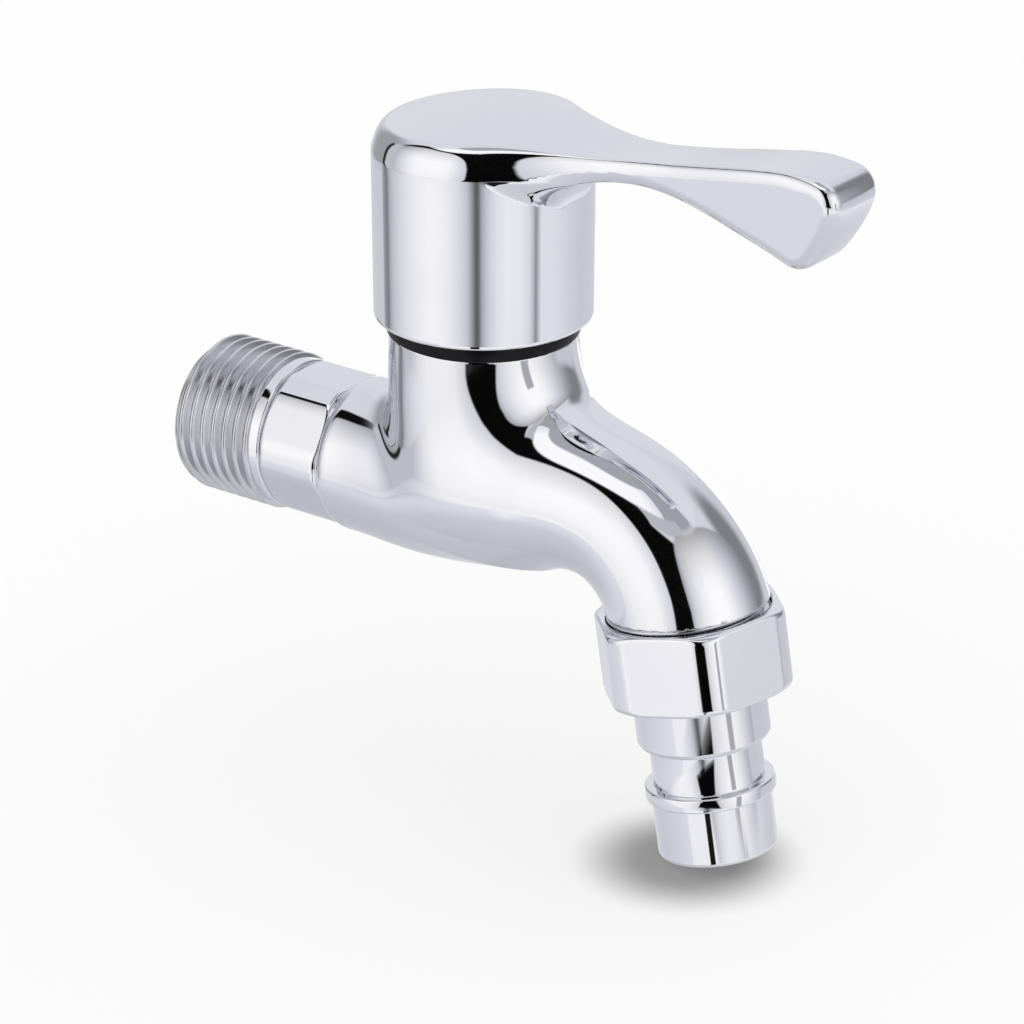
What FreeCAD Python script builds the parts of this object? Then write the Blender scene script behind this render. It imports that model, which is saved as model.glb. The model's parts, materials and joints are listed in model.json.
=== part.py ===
import FreeCAD, Part
import math
import os

V = FreeCAD.Vector

# Millimetres. +X runs out of the wall, +Z is up, y = 0 is the plane of symmetry.
# The origin lies on the inlet axis where the threaded shank meets its collar ring.

# clearances
RUN = 0.05            # turning and sliding fits
FACE = 0.3            # flat faces of separately moving pieces

# wall side
THREAD_R = 10.4775    # G 1/2, 20.955 mm across the crests
THREAD_LEN = 12.9
THREAD_CHAMFER = 0.8
COLLAR_R = 10.0
COLLAR_LEN = 1.4
HEX_AF = 19.05
HEX_END = 11.0
HEX_CHAMFER_R = 9.7
HEX_CHAMFER_LEN = 1.0

# valve column
COLUMN_X = 31.08
COLUMN_R = 12.4
COLUMN_TOP = 22.0
SHOULDER_REAR = 2.5   # blend radius where the neck meets the column
SHOULDER_FRONT = 8.0  # blend radius where the spout leaves the column

# body stations: x, z, half width, half height, lean of the section from the plumb line
BODY_STATIONS = [
    (10.4, 0.0, 8.9, 8.9, 90.0),
    (11.3, 0.0, 9.9, 9.9, 90.0),
    (13.2, 0.0, 10.4, 10.4, 90.0),
    (19.0, 0.1, 10.8, 10.65, 90.0),
    (26.0, 0.3, 11.6, 10.7, 88.0),
    (32.0, 0.9, 12.0, 10.7, 86.0),
    (38.0, 1.9, 11.8, 10.6, 84.0),
    (44.0, 2.9, 11.2, 10.3, 83.0),
    (49.0, 3.1, 10.6, 10.0, 77.0),
    (54.6, 1.7, 10.1, 9.8, 64.0),
    (59.8, -2.2, 10.1, 10.0, 43.0),
    (62.6, -6.3, 10.4, 10.3, 20.0),
]

# outlet: the axis leans forward, w is measured up the axis from the nozzle flange
OUTLET_TILT = 9.3
OUTLET_X = 67.04
OUTLET_Z = -31.09
SPOUT_END_R = 10.55
SPOUT_END_W = 23.35
SPOUT_SHANK_W = 16.25

# waterway
INLET_R = 6.5
INLET_LEN = 9.0
PASSAGE_R = 5.0
RISER_R = 4.8
SEAT_Z = 7.0
CHAMBER_R = 9.3
CHAMBER_TOP = 15.5
SPOUT_BORE = [
    (35.0, 11.0, 3.6, 90.0),
    (42.0, 9.6, 4.6, 75.0),
    (48.0, 5.6, 5.6, 66.0),
    (54.0, 1.4, 6.4, 62.0),
    (59.4, -2.6, 6.9, 43.0),
    (62.5, -6.6, 7.2, 20.0),
]
SPOUT_BORE_R = 7.3

# headwork
HEAD_THREAD_R = 9.6
HEAD_SKIRT_R = 8.0
HEAD_BORE_R = 6.6
HEAD_FLANGE_R = 11.2
HEAD_FLANGE_H = 1.5
HEAD_GASKET_H = 0.8
HEAD_HEX_AF = 17.0
HEAD_HEX_TOP = 30.0
HEAD_NECK_R = 6.8
HEAD_TOP = 34.6
HEAD_FOOT = 7.6
SPINDLE_BORE_R = 4.5
BASE_SEAL_H = 2.0
DISC_R = 6.5
DISC_H = 2.2
FOOT_H = 2.0
WASHER_H = 0.7
WINDOW_LOW = 11.7
WINDOW_HIGH = 14.7
WINDOW_ANGLE = 80.0

# spindle
SPINDLE_R = SPINDLE_BORE_R - RUN
RING_CORD_R = 0.585
RING_LOW_Z = 22.5
RING_HIGH_Z = 27.5
CLIP_H = 0.8
CLIP_R = 6.2
CLIP_GROOVE_R = 3.6
SPLINE_TEETH = 20
SPLINE_TIP_R = 4.0
SPLINE_ROOT_R = 3.6
SPLINE_LOW = 36.4
SPLINE_TOP = 44.6

# handle
DRUM_LOW = 24.18
DRUM_R = 14.15
DRUM_WALL_TOP = 45.0  # the plain wall ends inside the cap
DRUM_BORE_R = 12.2
DRUM_BORE_TOP = 43.0
BOSS_R = 8.2
BOSS_LOW = 35.9
SOCKET_R = 6.2
FLANK_ANGLE = 55.0    # where the lever's flanks leave the drum
LEVER_FLARE = 1.2     # widening of the lever towards its tip
LEVER_HALF = 4.2
LEVER_REACH = 90.0
SIDE_LINE = [
    (15.9, 44.6), (16.6, 46.7), (18.3, 48.1), (22.5, 48.95), (28.0, 49.8), (34.9, 50.6),
    (40.0, 50.7), (46.0, 50.3), (52.0, 50.2), (58.0, 50.8), (65.0, 51.95), (73.0, 53.4),
    (79.0, 54.2), (83.0, 54.5), (85.8, 54.0), (86.95, 52.4), (86.7, 49.9), (85.3, 46.9),
    (83.4, 43.9), (82.1, 42.35), (80.6, 42.0), (78.5, 42.6), (73.0, 44.45), (67.0, 46.35),
    (61.5, 47.5), (57.0, 47.7), (52.5, 47.1), (49.2, 45.8), (46.8, 43.9), (44.8, 41.9),
    (42.0, 40.4), (38.0, 39.8),
]
EDGE_ROUND = 0.9

# handle ring
RING_R = 12.4
RING_BORE = HEAD_FLANGE_R + 0.2

# grub screw and plug
SCREW_Z = 40.0
SCREW_R = 2.5
SCREW_LEN = 4.6
SCREW_TIP = 4.1
SOCKET_AF = 2.5
PLUG_R = 3.0
PLUG_LEN = 1.9

# union nut and nozzle
NUT_TOP_W = 23.0
NUT_LOW_W = 12.3
NUT_AF = 23.0
NUT_END_R = 11.5
NUT_ROUND = 1.3
NUT_TURN = 14.7       # rest position of the corners about the outlet axis
LIP_TOP_W = 13.9
LIP_R = 8.95
FLANGE_R = 9.9
STEP_R = 8.6
STEP_W = 6.1
NARROW_W = 5.2
NARROW_R = 7.2
BEAD_R = 8.4
BEAD_H = 1.88
SPIGOT_R = 7.7
SPIGOT_W = 9.6
NOZZLE_BORE_R = 5.6
STRAINER_R = 7.0
STRAINER_H = 0.5
STRAINER_HOLE_R = 0.55
STRAINER_PITCH = 1.9
GASKET_BORE_R = 7.4


def turned(points):
    """Solid of revolution about the Z axis from (radius, height) corners."""
    corners = [V(r, 0, z) for r, z in points]
    wire = Part.makePolygon(corners + [corners[0]])
    return Part.Face(wire).revolve(V(0, 0, 0), V(0, 0, 1), 360)


def tube(outer, inner, low, high):
    return turned([(inner, low), (outer, low), (outer, high), (inner, high)])


def hexagon(across, low, high, turn=0.0):
    radius = across / math.sqrt(3)
    corners = []
    for step in range(7):
        angle = math.radians(turn + 60 * step)
        corners.append(V(radius * math.cos(angle), radius * math.sin(angle), low))
    return Part.Face(Part.makePolygon(corners)).extrude(V(0, 0, high - low))


def section(x, z, half_width, half_height, lean):
    """Closed oval across the waterway, its plane leaning from the plumb line."""
    oval = Part.Wire([Part.makeCircle(half_height, V(0, 0, 0), V(0, 0, -1))])
    stretch = FreeCAD.Matrix()
    stretch.A22 = half_width / half_height
    oval = oval.transformGeometry(stretch)
    oval.rotate(V(0, 0, 0), V(0, 1, 0), -lean)
    oval.translate(V(x, 0, z))
    return oval


def outlet_point(w):
    lean = math.radians(OUTLET_TILT)
    return OUTLET_X - w * math.sin(lean), OUTLET_Z + w * math.cos(lean)


def on_outlet(shape):
    shape.rotate(V(0, 0, 0), V(0, 1, 0), -OUTLET_TILT)
    shape.translate(V(OUTLET_X, 0, OUTLET_Z))
    return shape


def on_column(shape):
    shape.translate(V(COLUMN_X, 0, 0))
    return shape


def on_inlet(shape):
    """Stand a shape built up the Z axis along the inlet axis."""
    shape.rotate(V(0, 0, 0), V(0, 1, 0), 90)
    return shape


def ridge_edges(shape, low, high):
    """Edges that run across the top of the neck from the rear to the front of the column."""
    found = []
    for edge in shape.Edges:
        box = edge.BoundBox
        if box.XMin < low and box.XMax > high and box.ZMin > 0 and box.ZMax < COLUMN_TOP - 1:
            if box.YLength > COLUMN_R - 3:
                found.append(edge)
    return found


def casting_skin():
    """Neck, valve column and bent spout with their blend."""
    stations = [section(*row) for row in BODY_STATIONS]
    x, z = outlet_point(SPOUT_END_W)
    stations.append(section(x, z, SPOUT_END_R, SPOUT_END_R, OUTLET_TILT))
    pipe = Part.makeLoft(stations, True, False)
    wall = Part.BezierCurve()
    reach = [(1.0, 22.0), (1.0, 15.0), (1.0, 10.0), (0.99, 5.0), (0.87, 1.0), (0.65, -2.0)]
    wall.setPoles([V(COLUMN_R * part, 0, height) for part, height in reach])
    side = wall.toShape()
    top = V(COLUMN_R, 0, COLUMN_TOP)
    foot = V(COLUMN_R * reach[-1][0], 0, reach[-1][1])
    lid = Part.makeLine(V(0, 0, top.z), top)
    floor = Part.makeLine(foot, V(0, 0, foot.z))
    spine = Part.makeLine(V(0, 0, foot.z), V(0, 0, top.z))
    column = Part.Face(Part.Wire([lid, side, floor, spine]))
    column = on_column(column.revolve(V(0, 0, 0), V(0, 0, 1), 360))
    half = pipe.fuse(column).common(Part.makeBox(120, 60, 120, V(-10, 0, -60)))
    ridge = ridge_edges(half, COLUMN_X - 11, COLUMN_X + 9)
    half = half.makeFillet(SHOULDER_REAR, SHOULDER_FRONT, ridge)
    return half.fuse(half.mirror(V(0, 0, 0), V(0, 1, 0)))


def wall_end():
    """Threaded shank, collar ring and chamfered hexagon on the inlet axis."""
    shank = turned([(0, -THREAD_LEN), (THREAD_R - THREAD_CHAMFER, -THREAD_LEN),
                    (THREAD_R, -THREAD_LEN + THREAD_CHAMFER), (THREAD_R, 0), (0, 0)])
    collar = Part.makeCylinder(COLLAR_R, COLLAR_LEN)
    corner = HEX_AF / math.sqrt(3) + 0.1
    prism = hexagon(HEX_AF, COLLAR_LEN, HEX_END, 30)
    limits = turned([(0, COLLAR_LEN), (HEX_CHAMFER_R, COLLAR_LEN),
                     (corner, COLLAR_LEN + HEX_CHAMFER_LEN),
                     (corner, HEX_END - HEX_CHAMFER_LEN), (HEX_CHAMFER_R, HEX_END), (0, HEX_END)])
    return on_inlet(shank.fuse(collar).fuse(prism.common(limits)))


def spout_shank():
    return on_outlet(Part.makeCylinder(THREAD_R, SPOUT_END_W - SPOUT_SHANK_W, V(0, 0, SPOUT_SHANK_W)))


def waterway():
    """Everything that is cut out of the casting."""
    inlet = Part.makeCylinder(INLET_R, INLET_LEN + THREAD_LEN, V(0, 0, -THREAD_LEN))
    mouth = Part.makeCone(INLET_R + 0.6, INLET_R, 0.6, V(0, 0, -THREAD_LEN))
    passage = Part.makeCylinder(PASSAGE_R, COLUMN_X + 1, V(0, 0, 0))
    cut = on_inlet(inlet.fuse(mouth).fuse(passage))
    cut = cut.fuse(on_column(Part.makeCylinder(RISER_R, SEAT_Z + 1)))
    cut = cut.fuse(Part.makeSphere(PASSAGE_R, V(COLUMN_X, 0, 0)))
    well = turned([(0, SEAT_Z), (CHAMBER_R, SEAT_Z), (CHAMBER_R, CHAMBER_TOP),
                   (HEAD_THREAD_R + RUN, CHAMBER_TOP), (HEAD_THREAD_R + RUN, COLUMN_TOP + 1),
                   (0, COLUMN_TOP + 1)])
    cut = cut.fuse(on_column(well))
    stations = [section(x, z, r, r, lean) for x, z, r, lean in SPOUT_BORE]
    for w in (SPOUT_END_W, SPOUT_SHANK_W - 1):
        x, z = outlet_point(w)
        stations.append(section(x, z, SPOUT_BORE_R, SPOUT_BORE_R, OUTLET_TILT))
    return cut.fuse(Part.makeLoft(stations, True, False))


def tap_body():
    return casting_skin().fuse(wall_end()).fuse(spout_shank()).cut(waterway())


def handle_ring():
    low = COLUMN_TOP
    high = DRUM_LOW - FACE
    soft = 0.25
    ring = turned([(RING_BORE, low), (RING_R, low), (RING_R, high - soft),
                   (RING_R - soft, high), (RING_BORE, high)])
    return on_column(ring)


def side_outline():
    """Face in the y = 0 plane: cap, lever and the arch under the lever."""
    line = Part.BSplineCurve()
    line.interpolate([V(x, 0, z) for x, z in SIDE_LINE])
    first = V(SIDE_LINE[0][0], 0, SIDE_LINE[0][1])
    last = V(SIDE_LINE[-1][0], 0, SIDE_LINE[-1][1])
    corners = [last, V(last.x, 0, DRUM_LOW), V(first.x, 0, DRUM_LOW), first]
    return Part.Face(Part.Wire([line.toShape()] + Part.makePolygon(corners).Edges))


def lever_plan():
    """Outline seen from above: the drum's circle and the lever's hollow flanks."""
    angle = math.radians(FLANK_ANGLE)
    start = V(COLUMN_X + DRUM_R * math.cos(angle), DRUM_R * math.sin(angle), 0)
    bend = math.pi / 2 - angle
    flare = math.radians(LEVER_FLARE)
    radius = (start.y - LEVER_HALF) / (1 - math.cos(bend))
    waist = V(start.x + radius * math.sin(bend), LEVER_HALF, 0)

    def on_flank(turn):
        return V(waist.x + radius * math.sin(turn), waist.y + radius * (1 - math.cos(turn)), 0)

    def other(point):
        return V(point.x, -point.y, 0)

    middle = on_flank((flare - bend) / 2)
    last = on_flank(flare)
    end = V(LEVER_REACH, last.y + (LEVER_REACH - last.x) * math.tan(flare), 0)
    edges = [
        Part.Arc(start, V(COLUMN_X - DRUM_R, 0, 0), other(start)).toShape(),
        Part.Arc(other(start), other(middle), other(last)).toShape(),
        Part.makeLine(other(last), other(end)),
        Part.makeLine(other(end), end),
        Part.makeLine(end, last),
        Part.Arc(last, middle, start).toShape(),
    ]
    return Part.Face(Part.Wire(edges))


def handle_skin():
    plan = lever_plan().extrude(V(0, 0, 40))
    plan.translate(V(0, 0, DRUM_LOW))
    side = side_outline().extrude(V(0, 40, 0))
    side.translate(V(0, -20, 0))
    cap = plan.common(side)
    drum = Part.makeCylinder(DRUM_R, DRUM_WALL_TOP - DRUM_LOW, V(COLUMN_X, 0, DRUM_LOW))
    skin = cap.fuse(drum).removeSplitter()
    rim = []
    for edge in skin.Edges:
        box = edge.BoundBox
        if box.ZMin > SIDE_LINE[0][1] - 4 and box.ZLength + box.XLength > 1:
            rim.append(edge)
    return skin.makeFillet(EDGE_ROUND, rim)


def screw_bore(radius, near, far):
    """Cylinder on the grub screw's axis between two distances behind the column axis."""
    bore = Part.makeCylinder(radius, far - near, V(0, 0, 0), V(-1, 0, 0))
    bore.translate(V(COLUMN_X - near, 0, SCREW_Z))
    return bore


def handle():
    shell = handle_skin()
    hollow = on_column(tube(DRUM_BORE_R, BOSS_R, DRUM_LOW - 1, DRUM_BORE_TOP))
    under = on_column(Part.makeCylinder(BOSS_R + 1, BOSS_LOW - DRUM_LOW + 1, V(0, 0, DRUM_LOW - 1)))
    socket = on_column(Part.makeCylinder(SOCKET_R, SPLINE_TOP + FACE - BOSS_LOW + 1, V(0, 0, BOSS_LOW - 1)))
    shell = shell.cut(hollow).cut(under).cut(socket)
    shell = shell.cut(screw_bore(SCREW_R, SOCKET_R - 1, BOSS_R + 1))
    return shell.cut(screw_bore(PLUG_R, BOSS_R + 1, DRUM_R + 1))


def spline_outline(clear):
    corners = []
    for tooth in range(SPLINE_TEETH):
        for share, radius in ((0.0, SPLINE_ROOT_R), (0.3, SPLINE_ROOT_R), (0.45, SPLINE_TIP_R),
                              (0.85, SPLINE_TIP_R)):
            angle = 2 * math.pi * (tooth + share) / SPLINE_TEETH
            reach = radius + clear
            corners.append(V(reach * math.cos(angle), reach * math.sin(angle), 0))
    return Part.Face(Part.makePolygon(corners + [corners[0]]))


def spline_bush():
    low = SPLINE_LOW
    high = SPLINE_TOP + FACE
    teeth = spline_outline(RUN / 2).extrude(V(0, 0, high - low + 2))
    teeth.translate(V(0, 0, low - 1))
    bush = on_column(Part.makeCylinder(SOCKET_R, high - low, V(0, 0, low)).cut(teeth))
    return bush.cut(screw_bore(SCREW_R, 0, SOCKET_R + 1))


def handle_grub_screw():
    screw = screw_bore(SCREW_R, SCREW_TIP, SCREW_TIP + SCREW_LEN)
    key = hexagon(SOCKET_AF, 0, 2.0)
    key.rotate(V(0, 0, 0), V(0, 1, 0), 90)
    key.translate(V(COLUMN_X - SCREW_TIP - SCREW_LEN, 0, SCREW_Z))
    return screw.cut(key)


def grub_screw_plug():
    plug = screw_bore(PLUG_R, DRUM_R - PLUG_LEN, DRUM_R + 1)
    return plug.common(on_column(Part.makeCylinder(DRUM_R, 60)))


def head_levels():
    """Heights of the stacked discs above the seat."""
    seal_top = SEAT_Z + BASE_SEAL_H
    fixed_top = seal_top + DISC_H
    moving_low = fixed_top + RUN
    moving_top = moving_low + DISC_H
    foot_top = moving_top + FOOT_H
    return seal_top, fixed_top, moving_low, moving_top, foot_top


def cartridge_housing():
    foot_top = head_levels()[4]
    shoulder = foot_top + RUN + WASHER_H
    flange_low = COLUMN_TOP + HEAD_GASKET_H
    flange_top = flange_low + HEAD_FLANGE_H
    shell = turned([(HEAD_BORE_R, HEAD_FOOT), (HEAD_SKIRT_R, HEAD_FOOT),
                    (HEAD_SKIRT_R, CHAMBER_TOP + 0.2), (HEAD_THREAD_R, CHAMBER_TOP + 0.8),
                    (HEAD_THREAD_R, flange_low), (HEAD_FLANGE_R, flange_low),
                    (HEAD_FLANGE_R, flange_top), (HEAD_NECK_R, flange_top),
                    (HEAD_NECK_R, HEAD_TOP - 0.5), (HEAD_NECK_R - 0.5, HEAD_TOP),
                    (SPINDLE_BORE_R, HEAD_TOP), (SPINDLE_BORE_R, shoulder),
                    (HEAD_BORE_R, shoulder)])
    spanner = hexagon(HEAD_HEX_AF, flange_top, HEAD_HEX_TOP)
    spanner = spanner.cut(Part.makeCylinder(HEAD_NECK_R - 0.1, 40))
    shell = shell.fuse(spanner)
    for side in (0, 180):
        sector = turned([(HEAD_BORE_R - 1, WINDOW_LOW), (HEAD_SKIRT_R + 1, WINDOW_LOW),
                         (HEAD_SKIRT_R + 1, WINDOW_HIGH), (HEAD_BORE_R - 1, WINDOW_HIGH)])
        reach = 2 * HEAD_SKIRT_R
        spread = math.radians(WINDOW_ANGLE / 2)
        fan = Part.Face(Part.makePolygon([V(0, 0, 0), V(reach, -reach * math.tan(spread), 0),
                                          V(reach, reach * math.tan(spread), 0), V(0, 0, 0)]))
        fan = fan.extrude(V(0, 0, 40))
        fan.rotate(V(0, 0, 0), V(0, 0, 1), side)
        shell = shell.cut(sector.common(fan))
    return on_column(shell)


def head_gasket():
    return on_column(tube(HEAD_FLANGE_R, HEAD_THREAD_R + 0.1, COLUMN_TOP, COLUMN_TOP + HEAD_GASKET_H))


def base_seal():
    return on_column(tube(HEAD_BORE_R - RUN, RISER_R + 0.2, SEAT_Z, SEAT_Z + BASE_SEAL_H))


def port_wedges(low, high, turn):
    """Two opposite quarter openings of a shut-off disc."""
    wedges = None
    for side in (0, 180):
        port = []
        for radius, angles in ((2.0, (-36, 0, 36)), (5.4, (36, 0, -36))):
            port.append([V(radius * math.cos(math.radians(a)), radius * math.sin(math.radians(a)), low)
                         for a in angles])
        edges = [Part.Arc(*port[0]).toShape(), Part.makeLine(port[0][2], port[1][0]),
                 Part.Arc(*port[1]).toShape(), Part.makeLine(port[1][2], port[0][0])]
        wedge = Part.Face(Part.Wire(edges)).extrude(V(0, 0, high - low))
        wedge.rotate(V(0, 0, 0), V(0, 0, 1), side + turn)
        wedges = wedge if wedges is None else wedges.fuse(wedge)
    return wedges


def fixed_disc():
    low, high = head_levels()[0:2]
    disc = Part.makeCylinder(DISC_R, high - low, V(0, 0, low))
    return on_column(disc.cut(port_wedges(low - 1, high + 1, 0)))


def drive_slot(low, high, clear):
    slot = Part.makeBox(2 * DISC_R, 2.4 + 2 * clear, high - low, V(-DISC_R, -1.2 - clear, low))
    return slot.cut(Part.makeCylinder(5.6 - clear, high - low, V(0, 0, low)))


def moving_disc():
    low, high = head_levels()[2:4]
    disc = Part.makeCylinder(DISC_R - 0.1, high - low, V(0, 0, low))
    disc = disc.cut(port_wedges(low - 1, high + 1, 90))
    return on_column(disc.cut(drive_slot(high - 1.0, high + 1, 0.05)))


def spindle():
    moving_top, foot_top = head_levels()[3:5]
    foot = turned([(0, moving_top), (DISC_R - 0.1, moving_top), (DISC_R - 0.1, foot_top),
                   (0, foot_top)])
    foot = foot.cut(port_wedges(moving_top - 1, foot_top - 0.6, 90))
    lugs = drive_slot(moving_top - 0.95, moving_top, 0.0)
    lugs = lugs.common(Part.makeCylinder(DISC_R - 0.1, 60))
    groove = 2 * RING_CORD_R + 0.1
    floor = SPINDLE_R + 0.02 - 2 * RING_CORD_R
    clip_low = HEAD_TOP + FACE
    profile = [(0, foot_top), (SPINDLE_R, foot_top)]
    for height in (RING_LOW_Z, RING_HIGH_Z):
        profile += [(SPINDLE_R, height - groove / 2), (floor, height - groove / 2),
                    (floor, height + groove / 2), (SPINDLE_R, height + groove / 2)]
    profile += [(SPINDLE_R, clip_low), (CLIP_GROOVE_R, clip_low), (CLIP_GROOVE_R, clip_low + CLIP_H),
                (SPINDLE_R, clip_low + CLIP_H), (SPINDLE_R, SPLINE_LOW - 0.2),
                (SPLINE_ROOT_R, SPLINE_LOW), (0, SPLINE_LOW)]
    teeth = spline_outline(0).extrude(V(0, 0, SPLINE_TOP - SPLINE_LOW))
    teeth.translate(V(0, 0, SPLINE_LOW))
    return on_column(foot.fuse(lugs).fuse(turned(profile)).fuse(teeth))


def spindle_ring(height):
    return on_column(Part.makeTorus(SPINDLE_R + 0.02 - RING_CORD_R, RING_CORD_R, V(0, 0, height)))


def spindle_clip():
    low = HEAD_TOP + FACE
    clip = tube(CLIP_R, CLIP_GROOVE_R, low, low + CLIP_H)
    mouth = Part.makeBox(2 * CLIP_R, 2.6, 4, V(0, -1.3, low - 1))
    return on_column(clip.cut(mouth))


def thrust_washer():
    low = head_levels()[4] + RUN
    return on_column(tube(HEAD_BORE_R - RUN, SPINDLE_BORE_R, low, low + WASHER_H))


def union_nut():
    prism = hexagon(NUT_AF, NUT_LOW_W, NUT_TOP_W, NUT_TURN)
    corner = NUT_AF / math.sqrt(3) + 0.1
    limits = turned([(0, NUT_LOW_W), (NUT_END_R, NUT_LOW_W), (NUT_END_R + 0.9, NUT_LOW_W + 0.45),
                     (corner, NUT_LOW_W + NUT_ROUND), (corner, NUT_TOP_W - NUT_ROUND),
                     (NUT_END_R + 0.9, NUT_TOP_W - 0.45), (NUT_END_R, NUT_TOP_W), (0, NUT_TOP_W)])
    bore = Part.makeCylinder(THREAD_R + RUN, 20, V(0, 0, LIP_TOP_W))
    throat = Part.makeCylinder(LIP_R, 20, V(0, 0, NUT_LOW_W - 1))
    return on_outlet(prism.common(limits).cut(bore).cut(throat))


def nozzle():
    top = LIP_TOP_W + RUN + 1.25
    body = turned([(NOZZLE_BORE_R, -SPIGOT_W), (SPIGOT_R - 0.5, -SPIGOT_W), (SPIGOT_R, -SPIGOT_W + 0.5),
                   (SPIGOT_R, -BEAD_H), (BEAD_R - 0.2, -BEAD_H), (BEAD_R, -BEAD_H + 0.2),
                   (BEAD_R, -0.2), (BEAD_R - 0.2, 0), (NARROW_R, 0), (NARROW_R, NARROW_W),
                   (STEP_R - 0.3, STEP_W - 0.5), (STEP_R, STEP_W), (STEP_R, LIP_TOP_W + RUN),
                   (FLANGE_R, LIP_TOP_W + RUN), (FLANGE_R, top), (STRAINER_R + RUN, top),
                   (STRAINER_R + RUN, top - 2 * STRAINER_H), (NOZZLE_BORE_R, top - 2 * STRAINER_H)])
    return on_outlet(body)


def nozzle_gasket():
    low = LIP_TOP_W + RUN + 1.25
    return on_outlet(tube(FLANGE_R, GASKET_BORE_R, low, SPOUT_SHANK_W - 0.1))


def strainer():
    top = LIP_TOP_W + RUN + 1.25
    low = top - 2 * STRAINER_H
    plate = Part.makeCylinder(STRAINER_R, STRAINER_H, V(0, 0, low))
    holes = []
    for row in range(-2, 3):
        for column in range(-2, 3):
            x = row * STRAINER_PITCH
            y = column * STRAINER_PITCH
            if math.hypot(x, y) < NOZZLE_BORE_R - 2 * STRAINER_HOLE_R:
                holes.append(Part.makeCylinder(STRAINER_HOLE_R, 2, V(x, y, low - 1)))
    return on_outlet(plate.cut(Part.makeCompound(holes)))


PIECES = {
    "tap_body": tap_body,
    "handle": handle,
    "handle_ring": handle_ring,
    "spline_bush": spline_bush,
    "handle_grub_screw": handle_grub_screw,
    "grub_screw_plug": grub_screw_plug,
    "cartridge_housing": cartridge_housing,
    "head_gasket": head_gasket,
    "base_seal": base_seal,
    "fixed_disc": fixed_disc,
    "moving_disc": moving_disc,
    "spindle": spindle,
    "spindle_ring_low": lambda: spindle_ring(RING_LOW_Z),
    "spindle_ring_high": lambda: spindle_ring(RING_HIGH_Z),
    "spindle_clip": spindle_clip,
    "thrust_washer": thrust_washer,
    "union_nut": union_nut,
    "nozzle": nozzle,
    "nozzle_gasket": nozzle_gasket,
    "strainer": strainer,
}

os.makedirs("parts", exist_ok=True)
for name, build in PIECES.items():
    shape = build()
    if len(shape.Solids) == 1:
        shape = shape.Solids[0]
    box = shape.BoundBox
    print(name, "solids", len(shape.Solids), "valid", shape.isValid(), "volume", round(shape.Volume, 1),
          "x", round(box.XMin, 2), round(box.XMax, 2), "y", round(box.YMin, 2), round(box.YMax, 2),
          "z", round(box.ZMin, 2), round(box.ZMax, 2), flush=True)
    shape.exportStep("parts/" + name + ".step")
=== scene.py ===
import json
import math

import bpy
import numpy as np
from mathutils import Matrix, Vector


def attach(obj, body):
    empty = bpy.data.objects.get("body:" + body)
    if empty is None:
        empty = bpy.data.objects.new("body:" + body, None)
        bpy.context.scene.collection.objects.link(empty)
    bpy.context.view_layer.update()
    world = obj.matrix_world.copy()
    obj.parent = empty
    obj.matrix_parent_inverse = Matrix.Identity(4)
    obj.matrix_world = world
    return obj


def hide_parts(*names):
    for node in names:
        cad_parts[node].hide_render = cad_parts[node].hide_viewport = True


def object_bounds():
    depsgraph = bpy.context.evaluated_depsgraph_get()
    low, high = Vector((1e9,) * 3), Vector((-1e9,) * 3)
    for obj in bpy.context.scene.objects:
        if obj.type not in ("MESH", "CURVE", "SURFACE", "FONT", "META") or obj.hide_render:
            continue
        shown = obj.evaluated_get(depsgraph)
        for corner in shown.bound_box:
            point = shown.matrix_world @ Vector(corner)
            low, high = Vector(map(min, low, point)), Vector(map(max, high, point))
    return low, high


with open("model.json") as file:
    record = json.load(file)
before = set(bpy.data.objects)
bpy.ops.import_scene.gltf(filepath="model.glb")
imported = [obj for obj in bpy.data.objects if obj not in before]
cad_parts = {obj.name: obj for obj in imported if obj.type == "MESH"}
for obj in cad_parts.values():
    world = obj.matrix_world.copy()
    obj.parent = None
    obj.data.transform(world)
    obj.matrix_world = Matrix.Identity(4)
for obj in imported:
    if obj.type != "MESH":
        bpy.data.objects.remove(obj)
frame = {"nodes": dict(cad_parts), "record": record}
cadLow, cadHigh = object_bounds()
print("frame loaded,", len(frame["nodes"]), "nodes")

# Shapes are worked out in millimetres in the tap's own frame, and each mesh is brought
# to metres when it is finished. +X runs out of the wall, +Z is up, y = 0 is the middle.
mm = 0.001
pitch = 25.4 / 14          # G 1/2 thread
threadCrest = 10.4775
threadRoot = threadCrest - 0.64 * pitch
columnX = 31.08
outlet = {"tilt": 9.3, "x": 67.04, "z": -31.09}   # lean of the nozzle, and its bead's top


def clearSelection():
    if bpy.context.object and bpy.context.object.mode != "OBJECT":
        bpy.ops.object.mode_set(mode="OBJECT")
    bpy.ops.object.select_all(action="DESELECT")


def take(obj):
    clearSelection()
    obj.select_set(True)
    bpy.context.view_layer.objects.active = obj
    return obj


def newest(name):
    obj = bpy.context.object
    obj.name = name
    obj.data.name = name
    return obj


def combine(obj, other, operation):
    take(obj)
    change = obj.modifiers.new("cut", "BOOLEAN")
    change.operation = operation
    change.object = other
    change.solver = "EXACT"
    bpy.ops.object.modifier_apply(modifier="cut")
    bpy.data.objects.remove(other)
    return obj


def meshFrom(name, points, edges, faces):
    # a new object from points in millimetres, left in edit mode with everything selected
    mesh = bpy.data.meshes.new(name)
    mesh.from_pydata([Vector(point) * mm for point in points], edges, faces)
    obj = bpy.data.objects.new(name, mesh)
    bpy.context.scene.collection.objects.link(obj)
    take(obj)
    bpy.ops.object.mode_set(mode="EDIT")
    bpy.ops.mesh.select_all(action="SELECT")
    return obj


def faceOutwards():
    bpy.ops.mesh.normals_make_consistent(inside=False)
    bpy.ops.object.mode_set(mode="OBJECT")


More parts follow.
